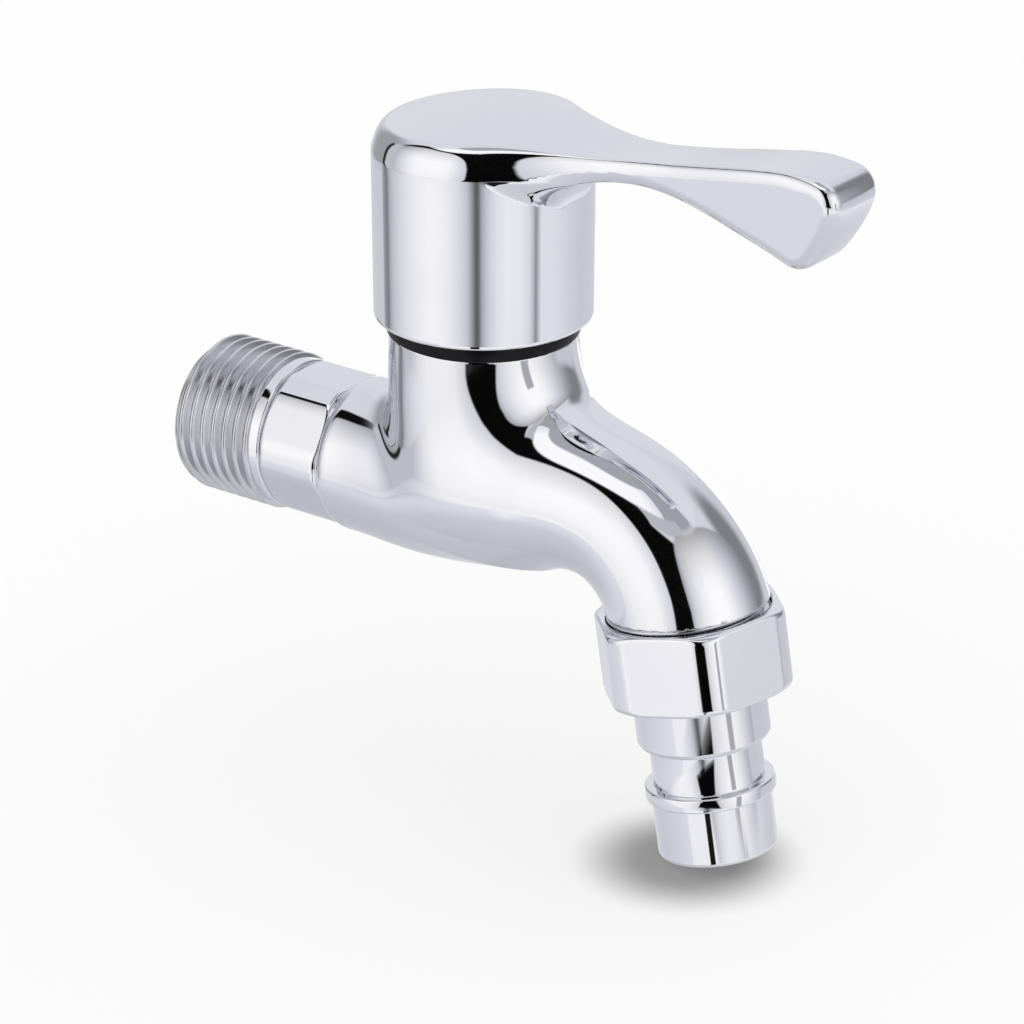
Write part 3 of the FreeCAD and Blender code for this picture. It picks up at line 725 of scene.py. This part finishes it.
def threadedPiece(name, sizes, matrix):
    low, high, bore, chamfer = sizes["low"], sizes["high"], sizes["bore"], sizes["chamfer"]
    heights = np.linspace(low, high, int((high - low) / thread["rowGap"]))
    corners = [(bore, high, 0)] + [(threadCrest, float(z), 0) for z in heights[::-1]]
    corners += [(bore + thread["mouth"], low, 0), (bore, low + thread["mouth"], 0)]
    obj = turnedPiece(name, corners, steps=thread["steps"], smooth=60)
    points = pointsOf(obj)
    reach = np.hypot(points[:, 0], points[:, 1])
    angle = np.arctan2(points[:, 1], points[:, 0])
    onThread = reach > threadRoot - 0.05
    limit = threadCrest - np.clip(low + chamfer - points[:, 2], 0, chamfer)
    wanted = threadRadius(points[:, 2] / pitch - angle / (2 * math.pi), limit)
    scale = np.where(onThread, wanted / reach, 1.0)
    points[:, 0] *= scale
    points[:, 1] *= scale
    setPoints(obj, points)
    placeMesh(obj, matrix)
    return obj


inletThread = threadedPiece("inletThread", inletScrew, inletTurn)
spoutThread = threadedPiece("spoutThread", spoutScrew, outletPlace)

plug = {"radius": 2.95, "low": 12.25, "rim": 13.85, "top": 14.0, "dimple": 0.7, "dimpleLip": 0.9,
        "dimpleFloor": 13.7}
screwPlug = turnedPiece("screwPlug", [
    (0.0, plug["low"], 0), (plug["radius"], plug["low"], 0), (plug["radius"], plug["rim"], 0.25),
    (plug["dimpleLip"], plug["top"], 0.2), (plug["dimple"], plug["dimpleFloor"], 0.1),
    (0.0, plug["dimpleFloor"], 0)], matrix=plugPlace, steps=64, closed=False)
print("turned pieces done")


def newGroup(name, inputs, outputs):
    group = bpy.data.node_groups.new(name, "ShaderNodeTree")
    for label, value in inputs:
        socket = group.interface.new_socket(name=label, in_out="INPUT", socket_type="NodeSocketFloat")
        socket.default_value = value
    for label in outputs:
        group.interface.new_socket(name=label, in_out="OUTPUT", socket_type="NodeSocketFloat")
    return group, group.nodes.new("NodeGroupInput"), group.nodes.new("NodeGroupOutput")


def node(tree, kind, **settings):
    made = tree.nodes.new(kind)
    for key, value in settings.items():
        setattr(made, key, value)
    return made


def feed(tree, socket, value):
    # another node's output is linked, a number or a colour is set
    if isinstance(value, bpy.types.NodeSocket):
        tree.links.new(value, socket)
    else:
        socket.default_value = value


def calc(tree, operation, *values):
    made = node(tree, "ShaderNodeMath", operation=operation)
    for socket, value in zip(made.inputs, values):
        feed(tree, socket, value)
    return made.outputs[0]


def remap(tree, value, low, high, fromLow=0.3, fromHigh=0.7, curve="LINEAR"):
    made = node(tree, "ShaderNodeMapRange", interpolation_type=curve)
    labels = ("Value", "From Min", "From Max", "To Min", "To Max")
    for label, amount in zip(labels, (value, fromLow, fromHigh, low, high)):
        feed(tree, made.inputs[label], amount)
    return made.outputs["Result"]


def blend(tree, factor, first, second):
    mix = node(tree, "ShaderNodeMix", data_type="RGBA")
    for label, value in (("Factor", factor), ("A", first), ("B", second)):
        feed(tree, mix.inputs[label], value)
    return mix.outputs["Result"]


def noise(tree, place, scale, detail):
    made = node(tree, "ShaderNodeTexNoise", noise_dimensions="3D")
    for label, value in (("Vector", place), ("Scale", scale), ("Detail", detail)):
        feed(tree, made.inputs[label], value)
    return made.outputs["Fac"]


def makeFinishGroup():
    # fine turning or polishing lines, soft clouds and sparse specks, from object coordinates
    group, given, result = newGroup("surfaceFinish", [("Line Scale", 900.0), ("Cloud Scale", 60.0),
                                                      ("Speck Scale", 700.0), ("Stretch", 0.06)],
                                    ["Lines", "Clouds", "Specks"])
    where = node(group, "ShaderNodeTexCoord").outputs["Object"]
    pull = node(group, "ShaderNodeCombineXYZ")
    pull.inputs[0].default_value = 1.0
    group.links.new(given.outputs["Stretch"], pull.inputs[1])
    group.links.new(given.outputs["Stretch"], pull.inputs[2])
    mapped = node(group, "ShaderNodeVectorMath", operation="MULTIPLY")
    group.links.new(where, mapped.inputs[0])
    group.links.new(pull.outputs[0], mapped.inputs[1])
    specks = node(group, "ShaderNodeTexVoronoi", feature="F1")
    group.links.new(where, specks.inputs["Vector"])
    group.links.new(given.outputs["Speck Scale"], specks.inputs["Scale"])
    group.links.new(noise(group, mapped.outputs[0], given.outputs["Line Scale"], 4.0), result.inputs["Lines"])
    group.links.new(noise(group, where, given.outputs["Cloud Scale"], 3.0), result.inputs["Clouds"])
    group.links.new(calc(group, "LESS_THAN", specks.outputs["Distance"], 0.1), result.inputs["Specks"])
    return group


finishGroup = makeFinishGroup()


def makeFinish(name, look):
    # the colour drifts with the clouds, the roughness with lines and clouds
    material = bpy.data.materials.new(name)
    material.use_nodes = True
    tree = material.node_tree
    shader = tree.nodes["Principled BSDF"]
    marks = node(tree, "ShaderNodeGroup", node_tree=finishGroup)
    marks.inputs["Line Scale"].default_value = look["lineScale"]
    marks.inputs["Cloud Scale"].default_value = look["cloudScale"]
    marks.inputs["Speck Scale"].default_value = look.get("speckScale", 900.0)
    marks.inputs["Stretch"].default_value = look["stretch"]
    drift = remap(tree, marks.outputs["Clouds"], 0.0, 1.0)
    tree.links.new(blend(tree, drift, (*look["dark"], 1), (*look["light"], 1)), shader.inputs["Base Color"])
    rough = calc(tree, "ADD", remap(tree, marks.outputs["Clouds"], look["smooth"], look["rough"]),
                 remap(tree, marks.outputs["Lines"], 0.0, look["lineRough"]))
    specks = calc(tree, "MULTIPLY", marks.outputs["Specks"], look.get("speckRough", 0.0))
    rough = calc(tree, "ADD", rough, specks)
    tree.links.new(rough, shader.inputs["Roughness"])
    shader.inputs["Metallic"].default_value = look.get("metallic", 0.0)
    for socket, value in look.get("sockets", {}).items():
        shader.inputs[socket].default_value = value
    if look.get("bump", 0.0) > 0:
        bump = node(tree, "ShaderNodeBump")
        bump.inputs["Distance"].default_value = look["bump"] * mm
        tree.links.new(marks.outputs["Lines"], bump.inputs["Height"])
        tree.links.new(bump.outputs["Normal"], shader.inputs["Normal"])
    return material


finishes = {
    "chrome_plate": makeFinish("brightChrome", {
        "dark": (0.80, 0.80, 0.84), "light": (0.83, 0.83, 0.865), "metallic": 1.0, "smooth": 0.02,
        "rough": 0.04, "lineRough": 0.01, "lineScale": 1500.0, "cloudScale": 90.0, "stretch": 0.1,
        "speckScale": 500.0, "speckRough": 0.02}),
    "black_plastic": makeFinish("blackGloss", {
        "dark": (0.004, 0.004, 0.006), "light": (0.009, 0.009, 0.012), "smooth": 0.14, "rough": 0.22,
        "lineRough": 0.04, "lineScale": 1800.0, "cloudScale": 200.0, "stretch": 0.05,
        "sockets": {"Specular IOR Level": 0.14}}),
    "grey_plastic": makeFinish("greyMoulded", {
        "dark": (0.36, 0.36, 0.38), "light": (0.42, 0.42, 0.44), "smooth": 0.36, "rough": 0.46,
        "lineRough": 0.05, "lineScale": 2500.0, "cloudScale": 300.0, "stretch": 1.0, "bump": 0.01}),
    "raw_brass": makeFinish("turnedBrass", {
        "dark": (0.66, 0.47, 0.20), "light": (0.76, 0.58, 0.28), "metallic": 1.0, "smooth": 0.22,
        "rough": 0.32, "lineRough": 0.10, "lineScale": 2200.0, "cloudScale": 120.0, "stretch": 0.04,
        "bump": 0.006}),
    "rubber": makeFinish("sealRubber", {
        "dark": (0.018, 0.018, 0.018), "light": (0.032, 0.032, 0.031), "smooth": 0.6, "rough": 0.75,
        "lineRough": 0.05, "lineScale": 3000.0, "cloudScale": 250.0, "stretch": 1.0, "bump": 0.01}),
    "disc_ceramic": makeFinish("lappedCeramic", {
        "dark": (0.84, 0.83, 0.78), "light": (0.90, 0.89, 0.85), "smooth": 0.12, "rough": 0.2,
        "lineRough": 0.03, "lineScale": 1600.0, "cloudScale": 150.0, "stretch": 0.3}),
    "steel": makeFinish("brightSteel", {
        "dark": (0.52, 0.52, 0.54), "light": (0.62, 0.62, 0.64), "metallic": 1.0, "smooth": 0.22,
        "rough": 0.32, "lineRough": 0.12, "lineScale": 2600.0, "cloudScale": 120.0, "stretch": 0.05,
        "bump": 0.004}),
    "white_plastic": makeFinish("whiteMoulded", {
        "dark": (0.80, 0.80, 0.78), "light": (0.88, 0.88, 0.86), "smooth": 0.35, "rough": 0.45,
        "lineRough": 0.05, "lineScale": 2500.0, "cloudScale": 300.0, "stretch": 1.0, "bump": 0.01}),
}
threadFinish = makeFinish("platedThread", {
    "dark": (0.62, 0.62, 0.65), "light": (0.74, 0.74, 0.77), "metallic": 1.0, "smooth": 0.12, "rough": 0.2,
    "lineRough": 0.06, "lineScale": 2600.0, "cloudScale": 160.0, "stretch": 0.3, "bump": 0.004})

slotOf = {row["node"]: row["material_slot"] for row in frame["record"]["subparts"]}
for name, part in frame["nodes"].items():
    part.data.materials.clear()
    part.data.materials.append(finishes[slotOf[name]])

dressing = [
    (tapCasting, "tap_unit", "tap_body", None), (wallHexagon, "tap_unit", "tap_body", None),
    (collarRing, "tap_unit", "tap_body", None), (inletThread, "tap_unit", "tap_body", threadFinish),
    (spoutThread, "tap_unit", "tap_body", threadFinish), (handleRing, "tap_unit", "handle_ring", None),
    (leverHandle, "handle_unit", "handle", None), (screwPlug, "handle_unit", "grub_screw_plug", None),
    (unionNut, "nut_unit", "union_nut", None), (hoseNozzle, "nozzle_unit", "nozzle", None),
]
for piece, body, nodeName, finish in dressing:
    piece.data.materials.clear()
    piece.data.materials.append(finish or finishes[slotOf[nodeName]])
    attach(piece, body)
    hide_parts(nodeName)
print("finishes done")


camera = {"azimuth": 36.69, "elevation": 23.48, "place": (388.50, -473.66, 254.08), "focalPixels": 5000,
          "imagePixels": 1024}
a, e = math.radians(camera["azimuth"]), math.radians(camera["elevation"])
back = Vector((math.sin(a) * math.cos(e), -math.cos(a) * math.cos(e), math.sin(e)))
lens = bpy.data.cameras.new("photoCamera")
lens.sensor_width = 36
lens.lens = camera["focalPixels"] / camera["imagePixels"] * lens.sensor_width
lens.clip_start, lens.clip_end = 0.01, 50
eye = bpy.data.objects.new("photoCamera", lens)
eye.location = Vector(camera["place"]) * mm
eye.rotation_mode = "QUATERNION"
eye.rotation_quaternion = (-back).to_track_quat("-Z", "Y")
bpy.context.scene.collection.objects.link(eye)
bpy.context.scene.camera = eye


studio = {
    "sky": 1.06,
    "floorSize": 6, "floorGap": 0.0001, "floorTone": 0.46, "floorGlow": 0.5,
    # painted contact shadow on the floor around the nozzle's foot, in metres
    "paintedShadowAt": (0.0662, -0.0035), "paintedShadowNear": 0.0055, "paintedShadowFar": 0.0168, "paintedShadowDepth": 0.36,
    # brightness by elevation behind all the cards
    "backdrop": [(-90, 0.72), (-24, 0.72), (12, 0.70), (30, 0.75), (50, 0.81), (72, 0.87), (80, 0.8),
                 (88, 0.45)],
    # painted in this order; middle and half sizes in degrees of azimuth and elevation.
    # "light" is even, "across" gives (azimuth, brightness) stops and "rise" (elevation, share) stops
    "cards": [
        {"name": "backWall", "at": (128, 24), "half": (34, 18), "round": 12, "soft": 10, "light": 0.83},
        {"name": "crown", "at": (0, 84), "half": (400, 11), "round": 1, "soft": 5, "light": 0.45},
        {"name": "highMiddle", "at": (-10, 66), "half": (25, 16), "round": 6, "soft": 6, "light": 0.43},
        {"name": "highRight", "at": (73, 67), "half": (58, 17), "round": 10, "soft": 6, "light": 0.85},
        {"name": "highLeft", "at": (-88, 64), "half": (56, 9), "round": 6, "soft": 3,
         "across": [(-140, 1.1), (-110, 1.16), (-55, 1.14), (-32, 0.88)]},
        {"name": "gapGrey", "at": (-42, 51), "half": (28, 5), "round": 3, "soft": 3, "light": 0.58},
        {"name": "frameLeft", "at": (-114, 18), "half": (53, 37), "round": 10, "soft": 3, "light": 0.005},
        {"name": "frameRight", "at": (-73, 8), "half": (39, 40), "round": 6, "soft": 3, "slope": -0.18,
         "light": 0.003},
        {"name": "rearShade", "at": (178, 6), "half": (26, 30), "round": 20, "soft": 22, "light": 0.40},
        {"name": "rearSpill", "at": (-160, 0), "half": (12, 28), "round": 8, "soft": 8, "light": 0.62},
        {"name": "softbox", "at": (-114.5, 8), "half": (43.5, 42), "round": 32, "soft": 2.5, "lean": 0.2,
         "across": [(-160, 0.52), (-150, 0.76), (-138, 1.0), (-126, 1.14), (-102, 1.16), (-90, 1.11),
                    (-79, 0.9), (-71, 0.78)],
         "rise": [(-24, 0.85), (-10, 0.95), (6, 1.0), (18, 1.0), (30, 0.88), (46, 0.72)]},
        {"name": "rearLine", "at": (-173, -2), "half": (2.4, 22), "round": 2, "soft": 3, "light": 0.02},
        {"name": "trough", "at": (62, 14), "half": (17, 27), "round": 17, "soft": 16, "light": 0.26},
        {"name": "dome", "at": (7, 9), "half": (55, 40), "round": 40, "soft": 2.5, "lean": 0.3,
         "across": [(-48, 0.5), (-42, 0.76), (-30, 1.0), (-14, 1.16), (0, 1.17), (10, 1.07), (24, 0.84),
                    (36, 0.62), (48, 0.40), (58, 0.27)],
         "rise": [(-24, 0.84), (-12, 0.92), (3, 1.0), (21, 1.0), (27, 0.95), (33, 0.84), (39, 0.72),
                  (47, 0.46)]},
        {"name": "lowRight", "at": (56, -17), "half": (17, 9), "round": 6, "soft": 7, "light": 0.69},
        {"name": "stripe", "at": (-6, -12), "half": (4.6, 15), "round": 2, "soft": 3, "light": 0.47},
        {"name": "rightWhite", "at": (114, -10), "half": (16.5, 15), "round": 8, "soft": 4, "light": 1.17},
        {"name": "floor", "at": (0, -60), "half": (400, 35), "round": 1, "soft": 4,
         "across": [(-180, 0.68), (-150, 0.73), (-110, 0.78), (-60, 0.84), (0, 0.86), (60, 0.82),
                    (100, 0.74), (130, 0.68), (180, 0.68)],
         "rise": [(-60, 0.87), (-40, 0.94), (-29, 1.13), (-25, 1.12)]},
        # the nozzle leans, so its wall sees the softboxes' foot and the black gap between them
        {"name": "footGlow", "at": (-55, -28), "half": (47, 8), "round": 6, "soft": 6, "light": 1.02},
        {"name": "footGap", "at": (-62.5, -27), "half": (5, 10), "round": 3, "soft": 2, "light": 0.01},
        # the upright drum wall sees only this narrow band
        {"name": "drumBand", "at": (0, -21.6), "half": (400, 2.3), "round": 0.4, "soft": 1,
         "across": [(-180, 0.48), (-175, 0.31), (-170, 0.25), (-166, 0.50), (-160, 0.67), (-150, 0.80),
                    (-140, 0.91), (-130, 0.98), (-120, 1.04), (-110, 1.08), (-100, 1.06), (-90, 0.99),
                    (-80, 0.88), (-70, 0.69), (-65, 0.40), (-61, 0.13), (-58, 0.16), (-55, 0.46),
                    (-50, 0.68), (-45, 0.81), (-38, 0.92), (-28, 0.99), (-15, 0.95), (-5, 0.85), (0, 0.60),
                    (2.5, 0.30), (5, 0.50), (9, 0.89), (25, 0.88), (50, 0.76), (70, 0.70), (180, 0.70)]},
    ],
}


def makeCardGroup():
    # soft-edged rounded rectangle in azimuth and elevation
    labels = ["Azimuth", "Elevation", "Centre A", "Centre E", "Half A", "Half E", "Round", "Soft", "Lean",
              "Slope"]
    group, given, result = newGroup("softCard", [(label, 1.0) for label in labels], ["Mask"])
    g = {label: given.outputs[label] for label in labels}

    def do(operation, *values):
        return calc(group, operation, *values)

    turn = do("WRAP", do("SUBTRACT", g["Azimuth"], g["Centre A"]), 180.0, -180.0)
    high = do("SUBTRACT", g["Elevation"], g["Centre E"])
    high = do("SUBTRACT", high, do("MULTIPLY", turn, g["Slope"]))
    side = do("ADD", turn, do("MULTIPLY", do("MAXIMUM", high, 0.0), g["Lean"]))
    qa = do("ADD", do("SUBTRACT", do("ABSOLUTE", side), g["Half A"]), g["Round"])
    qe = do("ADD", do("SUBTRACT", do("ABSOLUTE", high), g["Half E"]), g["Round"])
    pa, pe = do("MAXIMUM", qa, 0.0), do("MAXIMUM", qe, 0.0)
    squares = do("MULTIPLY", pa, pa), do("MULTIPLY", pe, pe)
    outside = do("SQRT", do("ADD", *squares))
    inside = do("MINIMUM", do("MAXIMUM", qa, qe), 0.0)
    gap = do("SUBTRACT", do("ADD", outside, inside), g["Round"])
    mask = remap(group, gap, 0.0, 1.0, do("MULTIPLY", g["Soft"], 0.5), do("MULTIPLY", g["Soft"], -0.5),
                 "SMOOTHSTEP")
    group.links.new(mask, result.inputs["Mask"])
    return group


def shade(value):
    # grey with the faint violet that the darker cards have
    tone = min(max((1.1 - value) / 0.4, 0), 1)
    return value * (1 - 0.03 * tone), value * (1 - 0.028 * tone), value * (1 + 0.035 * tone), 1


def plain(value):
    return value, value, value, 1


def stops(tree, angle, limit, rows, tint):
    # colours along an angle that runs from -limit to limit
    ramp = node(tree, "ShaderNodeValToRGB")
    tree.links.new(remap(tree, angle, 0.0, 1.0, -limit, limit), ramp.inputs[0])
    elements = ramp.color_ramp.elements
    elements.remove(elements[-1])
    for k, (where, value) in enumerate(rows):
        place = (where + limit) / (2 * limit)
        stop = elements[0] if k == 0 else elements.new(place)
        stop.position = place
        stop.color = tint(value)
    return ramp.outputs["Color"]


def cardColour(tree, card, azimuth, elevation):
    colour = stops(tree, azimuth, 180, card["across"], shade)
    if "rise" not in card:
        return colour
    product = node(tree, "ShaderNodeVectorMath", operation="MULTIPLY")
    tree.links.new(colour, product.inputs[0])
    tree.links.new(stops(tree, elevation, 90, card["rise"], plain), product.inputs[1])
    return product.outputs[0]


def buildWorld():
    world = bpy.data.worlds.new("studio")
    bpy.context.scene.world = world
    world.use_nodes = True
    tree = world.node_tree
    where = node(tree, "ShaderNodeTexCoord")
    split = node(tree, "ShaderNodeSeparateXYZ")
    tree.links.new(where.outputs["Generated"], split.inputs[0])
    azimuth = calc(tree, "DEGREES", calc(tree, "ARCTAN2", split.outputs["Y"], split.outputs["X"]))
    elevation = calc(tree, "DEGREES", calc(tree, "ARCSINE", split.outputs["Z"]))
    colour = stops(tree, elevation, 90, studio["backdrop"], shade)
    group = makeCardGroup()
    for card in studio["cards"]:
        mask = node(tree, "ShaderNodeGroup", node_tree=group, label=card["name"])
        tree.links.new(azimuth, mask.inputs["Azimuth"])
        tree.links.new(elevation, mask.inputs["Elevation"])
        values = {"Centre A": card["at"][0], "Centre E": card["at"][1], "Half A": card["half"][0],
                  "Half E": card["half"][1], "Round": card["round"], "Soft": card["soft"],
                  "Lean": card.get("lean", 0.0), "Slope": card.get("slope", 0.0)}
        for label, value in values.items():
            mask.inputs[label].default_value = value
        light = cardColour(tree, card, azimuth, elevation) if "across" in card else shade(card["light"])
        colour = blend(tree, mask.outputs["Mask"], colour, light)
    # reflections see the cards, the floor's light comes from an even sky, the camera sees white
    ray = node(tree, "ShaderNodeLightPath")
    lit = blend(tree, ray.outputs["Is Glossy Ray"], plain(studio["sky"]), colour)
    seen = blend(tree, ray.outputs["Is Camera Ray"], lit, plain(1.0))
    background = tree.nodes["Background"]
    tree.links.new(seen, background.inputs["Color"])
    background.inputs["Strength"].default_value = 1.0


def buildFloor():
    floorZ = cadLow.z - studio["floorGap"]
    bpy.ops.mesh.primitive_plane_add(size=studio["floorSize"], location=(0, 0, floorZ))
    floor = newest("studioFloor")
    bpy.ops.object.transform_apply(location=True, rotation=True, scale=True)
    material = bpy.data.materials.new("paperFloor")
    material.use_nodes = True
    tree = material.node_tree
    shader = tree.nodes["Principled BSDF"]
    where = node(tree, "ShaderNodeTexCoord")
    # painted contact shadow: the floor's base colour and camera glow darken towards the nozzle's foot
    away = node(tree, "ShaderNodeVectorMath", operation="SUBTRACT")
    tree.links.new(where.outputs["Object"], away.inputs[0])
    away.inputs[1].default_value = (*studio["paintedShadowAt"], floorZ)
    reach = node(tree, "ShaderNodeVectorMath", operation="LENGTH")
    tree.links.new(away.outputs[0], reach.inputs[0])
    light = remap(tree, reach.outputs["Value"], studio["paintedShadowDepth"], 1.0, studio["paintedShadowNear"],
                  studio["paintedShadowFar"], "SMOOTHSTEP")
    tree.links.new(calc(tree, "MULTIPLY", light, studio["floorTone"]), shader.inputs["Base Color"])
    tree.links.new(light, shader.inputs["Emission Color"])
    shader.inputs["Roughness"].default_value = 0.9
    shader.inputs["Specular IOR Level"].default_value = 0.0
    ray = node(tree, "ShaderNodeLightPath")
    glow = calc(tree, "MULTIPLY", ray.outputs["Is Camera Ray"], studio["floorGlow"])
    tree.links.new(glow, shader.inputs["Emission Strength"])
    floor.data.materials.append(material)
    floor.visible_glossy = False


clearSelection()
buildWorld()
buildFloor()
bpy.context.scene.view_settings.view_transform = "Standard"
print("studio done")
